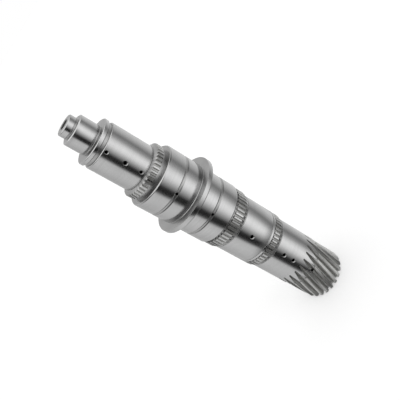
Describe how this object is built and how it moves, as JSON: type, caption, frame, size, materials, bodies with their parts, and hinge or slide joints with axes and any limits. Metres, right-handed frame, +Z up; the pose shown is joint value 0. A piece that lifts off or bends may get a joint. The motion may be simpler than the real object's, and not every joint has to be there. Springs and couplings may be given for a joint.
{
  "type": "transmission main shaft",
  "caption": "Stepped steel shaft of a heavy gearbox, with a thrust flange, short splines between ground seats, a line of oil holes and a helical gear cut in its end.",
  "frame": {"origin": "middle of the flat end face at the gear end, on which the shaft stands", "axes": "+Z up along the shaft to the pilot end; the line of oil holes faces -Y"},
  "size_m": [0.116, 0.116, 0.4712],
  "materials": {
    "ground_steel": "ground and polished"
  },
  "bodies": {
    "root": {"main_shaft": "ground_steel"}
  },
  "joints": []
}
